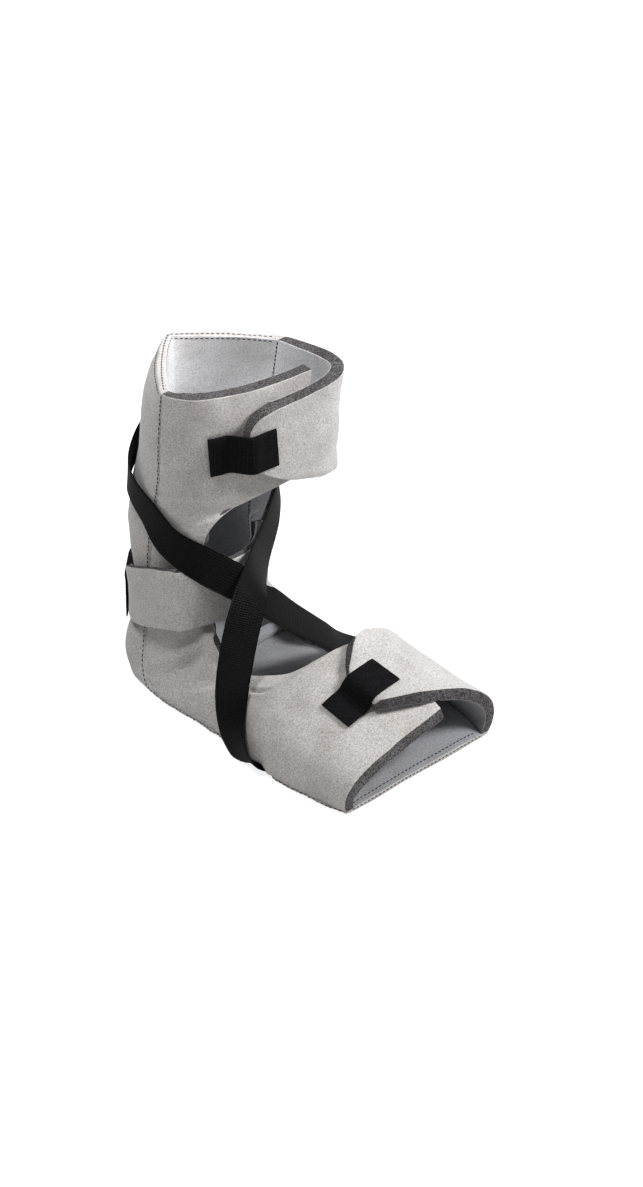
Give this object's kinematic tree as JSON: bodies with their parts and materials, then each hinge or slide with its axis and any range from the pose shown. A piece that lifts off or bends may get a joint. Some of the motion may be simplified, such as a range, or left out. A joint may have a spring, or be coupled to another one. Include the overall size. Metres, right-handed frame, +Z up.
{
  "type": "plantar fasciitis night splint",
  "caption": "Soft L-shaped foam splint that wraps calf and foot with lap flaps, an ankle band and a crossed strap.",
  "frame": {"origin": "on the floor under the sole, on the sole's middle line, half way along the splint's length", "axes": "+Z up along the calf, -Y towards the toes, +X towards the side that the outer flaps are sewn to"},
  "size_m": [0.1654, 0.2714, 0.2464],
  "materials": {
    "laminate": "brushed loop fabric on foam",
    "webbing": "plain woven webbing",
    "hook_tape": "dull hook tape"
  },
  "bodies": {
    "root": {"spine_panel": "laminate", "under_wing": "laminate", "over_wing": "laminate", "ankle_band": "laminate", "cross_strap": "webbing", "calf_tab": "hook_tape", "foot_tab": "hook_tape", "ankle_tab": "hook_tape"}
  },
  "joints": []
}
